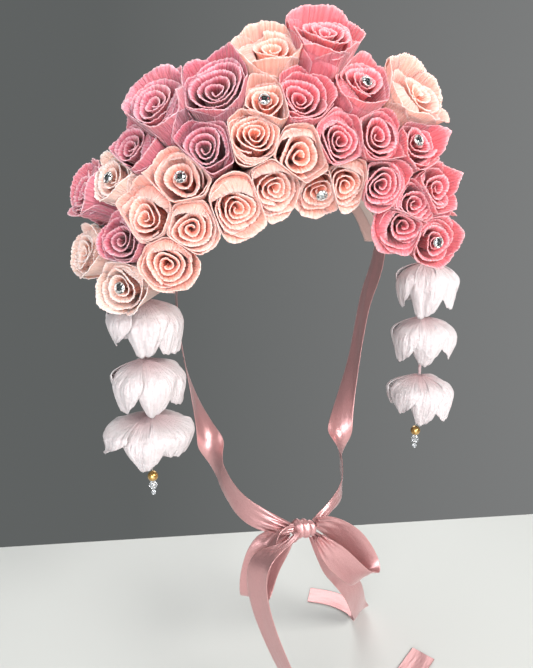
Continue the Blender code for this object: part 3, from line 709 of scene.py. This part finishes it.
# The stone's colour is painted glints and reflections: noise sets dark and near-white patches that stand in
# for flashing facets.
glint_noise = finish.noise(finish.place(), 700.0, 0.0)
painted_glint_stops = [
    (0.36, (0.10, 0.11, 0.12)), (0.46, (0.62, 0.66, 0.68)),
    (0.56, (0.97, 0.98, 1.0)), (0.68, (0.30, 0.34, 0.36)),
]
painted_glint_tint = finish.node("ValToRGB", {"stops": painted_glint_stops}, {"Fac": glint_noise})
stone_material = finish.ends(Base_Color=painted_glint_tint)

finish = Finish("silver_cup", Metallic=1.0)
cup_wear = finish.noise(finish.place(), 900.0, 3.0)
cup_tint = finish.mix(cup_wear, (0.42, 0.41, 0.40), (0.80, 0.79, 0.77))
cup_material = finish.ends(Base_Color=cup_tint, Roughness=0.18 + cup_wear * 0.2)

CUP_PROFILE = [
    (0, -1.9), (2.6, -1.9), (3.5, -1.3), (3.95, 0.1), (4.0, 0.5), (3.75, 0.62), (3.55, 0.45), (3.5, 0.0),
    (2.4, -1.4), (0, -1.5),
]
CLAW_PROFILE = [(0.0, -0.95), (0.42, -0.8), (0.55, 0.0), (0.42, 0.8), (0.0, 0.95)]

# Rose, then how far the stone stands out of the mouth's plane in mm, and its place in the mouth.
STONES = (
    ("gem_top", 0.5, (-0.08, -0.02)), ("gem_upper_left", 0.0, (-0.06, -0.10)),
    ("gem_outer_left", 0.0, (-0.10, 0.02)), ("gem_outer_right", 0.0, (-0.05, -0.05)),
    ("gem_middle_right", 0.0, (0.0, 0.0)), ("gem_front", 0.5, (0.05, -0.05)),
    ("gem_low_right", 0.0, (0.05, 0.0)), ("gem_low_left", 0.0, (0.05, 0.0)),
)
for name, proud, shift in STONES:
    root, tip, mouth, hood = mouths[name + "_rose"]
    axes = bases(root, tip)
    right, up = (np.array(shift) + stand_aside(hood)) * mouth
    place = tip + np.array([right, up, proud * MM]) @ axes
    brilliant = at(faceted(STONE_RINGS * [STONE, STONE, 1], 16), place, axes)
    piece("stone_" + name, [brilliant], stone_material, "crown", "crystal", smooth=False)
    parts = [at(lathe(np.array(CUP_PROFILE) * CUP_SHARE * MM, 28), place, axes)]
    for k in range(CLAWS):
        turn = (k + 0.5) * 2 * np.pi / CLAWS
        claw_y = np.array([-np.sin(turn), np.cos(turn), 0])
        inward = np.array([-np.cos(turn) * CLAW_IN, -np.sin(turn) * CLAW_IN, CLAW_RISE])
        claw_axes = np.stack([claw_y, np.cross(inward, claw_y), inward]) @ axes
        centre = place + np.array([np.cos(turn) * CLAW_OUT, np.sin(turn) * CLAW_OUT, CLAW_UP]) @ axes
        parts.append(at(lathe(np.array(CLAW_PROFILE) * MM, 10), centre, claw_axes))
    piece("cup_" + name, parts, cup_material, "crown", "wire")


# ---- The tassels ----
# From each end of the crown a twisted paper thread carries three hanging flowers of crinkled white
# paper, one under another, and a wire pin with a gold bead, a cut crystal and a seed bead.
THREAD, THREAD_SHOWN = 22, 21  # mm from one tie to the next, and the length of the twisted paper
PETAL_WALL = 0.3 * MM
WIDE, TALL = 0.92, 0.90  # the petals, against the flower's radius and height, to leave room for folds
LEVELS = ("top", "middle", "bottom")
paper = Finish(
    "crinkled_paper", Roughness=0.75, Sheen_Weight=0.2, Specular_IOR_Level=0.3,
    Subsurface_Weight=0.15, Subsurface_Radius=(0.002, 0.0015, 0.0014),
)
paper_flat = paper.flat()
paper_shade_tone = paper.attribute("tone")
creases = paper.noise(paper.stretched(paper_flat, (1.0, 0.16, 1.0)), 0.42, 4.0, 0.62)
crumple = paper.noise(paper.place(), 190.0, 4.0, 0.6)
# Painted shade, pinkish, at each petal's neck where the tone is low, and in part on the twisted paper.
paper_tint = paper.mix(paper_shade_tone.clamped(0.02, 0.32), (0.58, 0.35, 0.36), (0.61, 0.555, 0.56))
# Painted shade in the creases.
paper_tint = paper.mix((1.0 - creases.clamped(0.30, 0.55)) * 0.5, paper_tint, (0.45, 0.35, 0.365))
white_paper = paper.ends(
    Base_Color=paper_tint, Normal=paper.bump(creases * 0.7 + crumple * 0.6, 0.0034, 0.85)
)


def creased(rng, rows, cols, along, across):
    """Smooth random heights from -1 to 1: a coarse grid of random values spread by normal curves."""
    coarse = rng.uniform(-1, 1, (along, across))
    u, v = np.linspace(0, across - 1, cols), np.linspace(0, along - 1, rows)
    spread_u = np.exp(-1.6 * (u[None] - np.arange(across)[:, None]) ** 2)
    spread_v = np.exp(-1.6 * (v[:, None] - np.arange(along)[None]) ** 2)
    return spread_v @ coarse @ spread_u


def hanging_petal(rng, radius, height, angle, half, size=1.0, flare=0.0, droop=1.0):
    """A paper petal: u runs across it and v down it, from the neck over a rounded shoulder to a ragged
    hem. Its radius follows a quarter sine to the widest place, then turns in, or out again by flare in mm at
    the very end. Random folds and a crowned middle are added to the radius, and the sides hang less."""
    rows, cols = 33, 57
    u, v = np.meshgrid(np.linspace(-1, 1, cols), np.linspace(0, 1, rows))
    a, b = rng.uniform(0, 6.3, 2)
    shoulder = np.sin(np.pi / 2 * np.minimum(1, v / 0.56)) ** 0.98
    tuck = np.maximum(0, v - 0.56) / 0.44
    r = radius * size * (0.07 + 0.93 * shoulder - 0.27 * tuck**1.6 * (1 - 0.4 * np.abs(u)))
    r = r + flare * MM * tuck**2.2 * (0.6 + 0.4 * np.cos(2.2 * u + a))
    hem = 1 - 0.34 * np.abs(u) ** 2.4 + 0.03 * np.sin(4.6 * u + b)
    z = -height * droop * (0.66 * v + 0.34 * v**2) * hem + flare * MM * 0.35 * tuck**3
    folds = creased(rng, rows, cols, 4, 11) * 0.8 + creased(rng, rows, cols, 7, 36) * 0.2
    r = r + folds * MM * np.minimum(1, v * 2.6) * (0.5 + 0.7 * v)
    r = r + radius * 0.10 * u * shoulder - radius * 0.12 * size * shoulder * np.abs(u) ** 3
    jag = rng.uniform(-1, 1, cols) + 1.4 * np.sin(np.linspace(0, 1, cols) * 31 + b)
    z = z + jag * 0.25 * MM * v**9
    around = np.radians(angle + half * u * (0.74 + 0.26 * shoulder) * (1 - 0.26 * tuck**2))
    flat = np.stack([np.radians(half) * u * radius / MM, v * 1.25 * height / MM], -1)
    # The tone, v, sets the painted shade at the neck.
    return {"points": polar(r, around, z - 0.6 * MM), "flat": flat, "tone": v}


def twist_tube(length, radii, top, turns, bulge=0.25):
    """A paper tube twisted like a rope: three ridges wind round it as it falls."""
    v, turn = np.linspace(0, 1, 40)[:, None], np.linspace(0, 2 * np.pi, 31)
    turn[-1] = 0.0
    r = np.interp(v, np.linspace(0, 1, len(radii)), radii) * MM
    r = r * (1 + bulge * np.abs(np.sin(1.5 * turn + np.pi * turns * v)))
    flat = np.stack([turn * 3 + 8 * turns * v, length * v + 0 * turn], -1)
    # A tone of 0.12 gives the tube part of the neck's painted shade.
    return {"points": polar(r, turn, (top - length * v) * MM), "flat": flat, "tone": 0.12}


# Side, the tie's place, how far each flower hangs above the next tie, radii and heights in mm, then
# each flower's petals: angle, half width in degrees, size, flare in mm and droop.
TASSELS = (
    ("right", (-99.98, -4.5, -65.98), (42, 41, 40), (27, 27, 31), (36, 36, 31), (
        ((265, 44, 1, -2, 1.12), (205, 46, 1.06, 5, 0.95), (325, 46, 1.02, 3, 1.2),
         (120, 60, 1, 2, 1), (40, 56, 1, 2, 1.05)),
        ((280, 46, 1, -2, 1.12), (215, 46, 1.04, 2, 1.08), (345, 46, 1.04, 5, 1.1),
         (130, 60, 1, 2, 1), (55, 52, 1, 2, 1)),
        ((250, 46, 0.98, -2, 1.2), (195, 44, 1.14, 9, 0.82), (315, 50, 1.08, 0, 0.98),
         (120, 60, 1.02, 3, 1), (30, 54, 1.04, 3, 0.95)),
    )),
    ("left", (109.04, -4.5, -47.99), (42, 47, 39), (24, 25, 27), (36, 36, 34), (
        ((240, 48, 1, 1, 1.25), (310, 48, 1.06, 3, 1.05), (15, 50, 1.1, 5, 0.85),
         (100, 58, 1, 2, 1), (170, 52, 1, 2, 1.05)),
        ((250, 50, 1, -1, 1.05), (320, 46, 1.08, 5, 1), (190, 48, 1.02, 2, 1.05),
         (110, 58, 1, 2, 1), (35, 50, 1, 3, 1)),
        ((255, 40, 0.96, 0, 1.15), (200, 44, 1, 3, 0.92), (305, 42, 1.04, 5, 1.1),
         (350, 44, 1.06, 4, 0.95), (110, 60, 1, 2, 1)),
    )),
)

gold = Finish("pearl_gold", Metallic=0.85, Coat_Weight=0.6, Coat_Roughness=0.1)
gold_noise = gold.noise(gold.place(), 420.0, 3.0)
gold_tint = gold.mix(gold_noise.clamped(0.35, 0.65), (0.46, 0.25, 0.06), (0.66, 0.44, 0.16))
gold_bead = gold.ends(Base_Color=gold_tint, Roughness=0.24 + gold_noise * 0.16)

glass = Finish("cut_crystal", Roughness=0.02, IOR=1.55, Transmission_Weight=0.85)
glass_noise = glass.noise(glass.place(), 500.0, 0.0)
cut_crystal = glass.ends(Base_Color=glass.mix(glass_noise, (0.80, 0.84, 0.88), (0.97, 0.98, 1.0)))

BEAD_ROUND = [(3.8 * np.sin(t), 3.8 * np.cos(t)) for t in np.radians(np.arange(14, 167, 8))]
BEAD_PROFILE = [(0.8, 3.7), *BEAD_ROUND, (0.8, -3.7)]
BEAD_HANGS, CUT_HANGS = -9.0, -16.2  # mm from the wire's loop to the middle of each bead
WIRE_PROFILE = [(0, -0.3), (0.55, -0.4), (0.62, -1.2), (0.42, -2.0), (0.42, -20.2), (0, -20.4)]
SEED_PROFILE = [
    (0.2, -20.1), (0.9, -20.3), (1.5, -21.2), (1.62, -22.2), (1.3, -23.3), (0.6, -24.0), (0, -24.15),
]
# The cut bead, in shares of its radius and half its height: three belts of flat facets.
CUT_RINGS = np.array([
    (0.25, 1.0, 0.0), (0.62, 0.86, 0.0), (1.0, 0.26, 0.5),
    (1.0, -0.26, 0.0), (0.62, -0.86, 0.5), (0.25, -1.0, 0.5),
])
CUT_RADIUS, CUT_HALF = 3.1 * MM, 2.9 * MM


def hung(place, *patches):
    """The patches moved to hang from the place."""
    return [at(patch, place, np.eye(3)) for patch in patches]


for side, tie, drops, radii, heights, flowers in TASSELS:
    hang = np.array(tie) * MM
    rope = twist_tube(THREAD_SHOWN, (1.4, 2.3, 2.0, 2.0, 2.4, 1.2), -0.3, 4)
    body = "thread_" + side
    piece("twisted_" + body, hung(hang, rope), white_paper, body, "twisted_paper", body)
    hang = hang - [0, 0, THREAD * MM]
    for level, drop, radius, height, shapes in zip(LEVELS, drops, radii, heights, flowers):
        rng = np.random.default_rng(40 + int(radius) + int(hang[2] * -1000))
        wide, tall = radius * WIDE * MM, height * TALL * MM
        blossom = [hanging_petal(rng, wide, tall, *shape) for shape in shapes]
        body, node = f"{level}_flower_{side}", f"flower_{level}_{side}"
        petals = hung(hang, *blossom)
        piece("paper_" + body, petals, white_paper, body, "white_paper", node, wall=PETAL_WALL)
        collar = twist_tube(7.5, (1.2, 2.4, 2.8, 3.6), -0.3, 1.2)
        stem = twist_tube(drop - 6.4, (1.0, 1.0, 1.1, 1.0), -6.0, 7, 0.12)
        piece("neck_" + body, hung(hang, collar, stem), white_paper, body, "twisted_paper", node)
        hang = hang - [0, 0, drop * MM]
    body = "pin_" + side
    wire, seed_bead = lathe(np.array(WIRE_PROFILE) * MM, 16), lathe(np.array(SEED_PROFILE) * MM, 20)
    pearl = lathe((np.array(BEAD_PROFILE) + [0, BEAD_HANGS]) * MM, 40)
    cut = faceted(CUT_RINGS * [CUT_RADIUS, CUT_HALF, 1] + [0, CUT_HANGS * MM, 0], 10)
    gold_node, cut_node = "gold_bead_" + side, "crystal_bead_" + side
    piece("wire_" + side, hung(hang, wire), cup_material, body, "wire", body)
    piece("seed_bead_" + side, hung(hang, seed_bead), cut_crystal, body, "crystal", body)
    piece("gold_pearl_" + side, hung(hang, pearl), gold_bead, body, "gold_bead", gold_node)
    piece("cut_bead_" + side, hung(hang, cut), cut_crystal, body, "crystal", cut_node, smooth=False)


# ---- The ribbon ----
# One satin ribbon 20 mm wide hangs from each end of the band, goes behind the head's sides and round
# the neck, and is tied in a bow in front with two loops and two long tails, gathered into the knot.
RIBBON = 20 * MM
RIBBON_WALL = 0.35 * MM
PLEATS = 3
KNOT = np.array([0, -52, -249]) * MM
TABLE_REST = -405 * MM + RIBBON_WALL + 0.3 * MM

finish = Finish(
    "dusty_rose_satin", Metallic=0.6, Sheen_Weight=0.25, Sheen_Roughness=0.3,
    Specular_IOR_Level=0.75, Anisotropic=0.5,
)
satin_flat = finish.flat()
satin_edge = finish.attribute("edge")
threads = finish.noise(finish.stretched(satin_flat, (6.0, 0.35, 1.0)), 1.5, 3.0, 0.6)
folds = finish.noise(finish.stretched(satin_flat, (1.0, 0.22, 1.0)), 0.16, 2.0, 0.5)
satin_tint = finish.mix(threads.clamped(0.3, 0.7), (0.50, 0.25, 0.25), (0.63, 0.345, 0.345))
satin_tint = finish.mix((1.0 - satin_edge.clamped(0.5, 0.9)) * 0.5, satin_tint, (0.66, 0.36, 0.35))
satin_lift = finish.bump(threads * 0.12 + folds, 0.0012, 0.5)
satin = finish.ends(Base_Color=satin_tint, Roughness=0.24 + threads * 0.12, Normal=satin_lift)


def beside_head(end):
    """The strand from the band's end in degrees of arc. Its points are x as a share of half the band's
    width, y in mm, and the share of the way down from that end to the knot."""
    top = BAND_DROP * (np.cos(np.radians(end)) - 1)
    return lambda x, y, share: (x * BAND_HALF, y * MM, top + (KNOT[2] - top) * share)


def from_knot(x, y, z):
    """A point near the knot, in mm from its middle."""
    return tuple(KNOT + np.array([x, y, z]) * MM)


def to_table(x, y, share):
    """A point of a tail: x and y in mm, and the share of the way down from the knot to the table."""
    return x * MM, y * MM, KNOT[2] + (TABLE_REST - KNOT[2]) * share


def along_path(place, *rows):
    """Stations from rows of numbers for the place, the width direction and the share of the width."""
    return [(place(*numbers), across, share) for *numbers, across, share in rows]


def satin_strip(node, stations, seed, wave=0.5):
    """A ribbon along stations: point, width direction, share of the width. Each corner is cut four times:
    a quarter and three quarters of the way along each side become the new corners. w runs across. Where the
    share is small, a sine of w gathers it in pleats that keep its width along the cloth, and a long low
    wave runs down the rest."""
    path = np.array([[*point, *across, share] for point, across, share in stations])
    for _ in range(4):
        low, high = 0.75 * path[:-1] + 0.25 * path[1:], 0.25 * path[:-1] + 0.75 * path[1:]
        path = np.concatenate([path[:1], np.stack([low, high], 1).reshape(-1, 7), path[-1:]])
    points, across, share = path[:, :3], path[:, 3:6], path[:, 6:]
    ahead = np.gradient(points, axis=0)
    ahead /= np.linalg.norm(ahead, axis=1, keepdims=True)
    across = across - ahead * np.sum(across * ahead, 1, keepdims=True)
    across /= np.linalg.norm(across, axis=1, keepdims=True)
    normal = np.cross(across, ahead)
    run = np.concatenate([[0], np.cumsum(np.linalg.norm(np.diff(points, axis=0), axis=1))])[:, None]
    w = np.linspace(-0.5, 0.5, 33)
    deep = RIBBON * np.maximum(0, 0.9 - share) * 0.48 / PLEATS
    rng = np.random.default_rng(seed)
    a, b, c = rng.uniform(0, 6.3, 3)
    lift = deep * np.sin(2 * np.pi * PLEATS * w + a) + 0.25 * deep * np.sin(9 * w * PLEATS + b)
    lift = lift + wave * MM * share * np.sin(run / 0.017 + 4 * w + c) * np.cos(3 * w)
    grid = points[:, None] + across[:, None] * (w[:, None] * RIBBON * share[:, None])
    grid = grid + normal[:, None] * lift[..., None]
    flat = np.stack([w * RIBBON / MM + 0 * run, run / MM + 0 * w], -1)
    edge = (0.5 - np.abs(w)) * RIBBON / MM + 0 * run
    cloth = {"points": grid, "flat": flat, "edge": edge}
    obj = piece("satin_" + node, [cloth], satin, "crown", "satin", node, wall=RIBBON_WALL)


satin_strip("ribbon_strand_right", along_path(
    beside_head(BAND_LOW),
    (-0.931, 2, 0.014, (0, 1, 0), 0.8), (-0.963, 14, 0.106, (0, 1, 0.3), 1),
    (-0.938, 27, 0.22, (0, 1, 0.3), 1), (-0.913, 32, 0.355, (0, 1, 0.2), 1),
    (-0.863, 32, 0.49, (0, 1, 0.3), 1), (-0.788, 28, 0.626, (0.1, 0.8, 0.5), 1),
    (-0.70, 20, 0.745, (0.1, 0.6, 0.8), 1), (-0.638, 8, 0.843, (0.05, 0.25, 0.95), 1),
) + along_path(
    from_knot,
    (-48.5, 44, 19, (0, 0, 1), 1), (-40, 22, 9, (0, 0.1, 1), 0.95), (-24, 8, 3, (0, 0.2, 1), 0.8),
    (-9, 1.5, 0, (0, 0.2, 1), 0.4),
), seed=1)
satin_strip("ribbon_strand_left", along_path(
    beside_head(BAND_HIGH),
    (0.919, 2, 0.036, (0, 1, 0), 0.8), (0.963, 15, 0.132, (0, 1, 0.3), 1),
    (0.938, 28, 0.254, (0, 1, 0.3), 1), (0.913, 33, 0.396, (0, 1, 0.2), 1),
    (0.863, 33, 0.538, (0, 1, 0.3), 1), (0.775, 29, 0.67, (-0.1, 0.8, 0.5), 1),
    (0.675, 21, 0.792, (-0.1, 0.6, 0.8), 1),
    (0.613, 8, 0.883, (-0.05, 0.25, 0.95), 1),
) + along_path(
    from_knot,
    (46.5, 46, 15, (0, 0, 1), 1), (38, 23, 11, (0, 0, 1), 0.9), (22, 8, 7, (0.3, 0, 1), 0.6),
    (9, 1.5, 1, (0.3, 0.2, 1), 0.35),
), seed=2)
satin_strip("bow_loop_right", along_path(
    from_knot,
    (-8.5, -2, 3, (0.1, -0.3, 0.9), 0.35), (-21, -5, 3, (0.5, -0.6, 0.5), 0.7),
    (-32, -5, -9, (0.8, -0.5, 0.2), 0.95), (-37, -2, -33, (0.85, -0.5, 0), 1),
    (-36, 3, -55, (0.85, -0.5, 0), 1), (-30, 12, -57, (0.85, -0.5, 0), 1),
    (-24, 14, -37, (0.85, -0.5, 0), 1), (-15, 8, -17, (0.8, -0.5, 0.2), 0.8),
    (-9, 3, -7, (0.5, -0.5, 0.5), 0.4),
), seed=3)
satin_strip("bow_loop_left", along_path(
    from_knot,
    (8.8, -1, 4, (0.2, 0, 0.9), 0.35), (20, 5, -3, (0.6, -0.1, 0.75), 0.8),
    (39, 10, -19, (0.69, -0.2, 0.69), 1), (54, 14, -42, (0.69, -0.2, 0.69), 1),
    (57, 11, -55, (0.69, -0.25, 0.69), 1), (48, 3, -54, (0.69, -0.3, 0.66), 1),
    (34, -5, -37, (0.69, -0.2, 0.69), 1), (20, -9, -19, (0.69, -0.1, 0.7), 0.95),
    (9.5, -5.5, -5, (0.5, 0, 0.8), 0.35),
), seed=4)
satin_strip("ribbon_tail_right", along_path(
    from_knot,
    (-7.5, -8, 0, (0, -0.3, 0.9), 0.3), (-16, -18, 4, (0, -0.9, 0.5), 0.6),
    (-31, -23, 1, (0.2, -1, 0.2), 0.9),
) + along_path(
    to_table,
    (-40, -74, 0.084, (0.45, -0.9, 0), 1), (-37, -74, 0.264, (0.55, -0.85, 0), 1),
    (-27, -75, 0.476, (0.55, -0.85, 0), 1), (-14, -78, 0.688, (0.5, -0.87, 0), 1),
    (0, -82, 0.894, (0.3, -0.95, 0), 1), (14, -86, 0.994, (0, -1, 0), 1), (34, -86, 1, (0, -1, 0), 1),
    (64, -70, 1, (0.5, -0.85, 0), 1), (94, -46, 1, (0.6, -0.8, 0), 1), (118, -28, 1, (0.56, -0.83, 0), 1),
), seed=5, wave=0.3)
satin_strip("ribbon_tail_left", along_path(
    from_knot,
    (7.5, 2, -7.5, (0.5, 0.1, 0.8), 0.3), (17, 3, -21, (0.8, 0.2, 0.5), 0.8),
) + along_path(
    to_table,
    (29, -37, 0.289, (0.9, 0.3, 0.3), 1), (42, -24, 0.424, (0.9, 0.4, 0.2), 1),
    (56, -16, 0.572, (0.85, 0.5, 0.1), 1), (67, -2, 0.74, (0.8, 0.6, 0), 1),
    (77, 14, 0.894, (0.7, 0.7, 0), 1), (83, 27, 0.977, (0.9, 0.5, 0), 1), (80, 40, 1, (0.8, 0.6, 0), 1),
    (66, 56, 1, (0.6, 0.8, 0), 1), (46, 66, 1, (0.4, 0.9, 0), 1),
), seed=6, wave=0.3)

# The knot: the ribbon wrapped once round the gathers, in folds that run over the front.
# Its radius follows a squared-off arch of k along the knot, with a sine of k for the folds.
KNOT_SIDE = np.array([[0.10, 0, 0.995], [0, 1.0, 0], [-0.995, 0, 0.10]])
k = np.linspace(-1, 1, 49)
wraps = 5.6 * (1 - np.abs(k) ** 4.0) ** 0.5 * (1 - 0.12 * k) + 0.55 * np.sin(10.5 * k + 0.6) * (1 - k * k)
wrapped = lathe(np.stack([np.maximum(0.0, wraps), -8.6 * k], -1) * MM, 48)
slant = wrapped["points"][..., 1:2] * [0, 0, 0.35]
wrapped["points"] = wrapped["points"] * [1.15, 0.95, 1] + slant
piece("satin_knot", [at(wrapped, KNOT, KNOT_SIDE)], satin, "crown", "satin", "bow_knot")
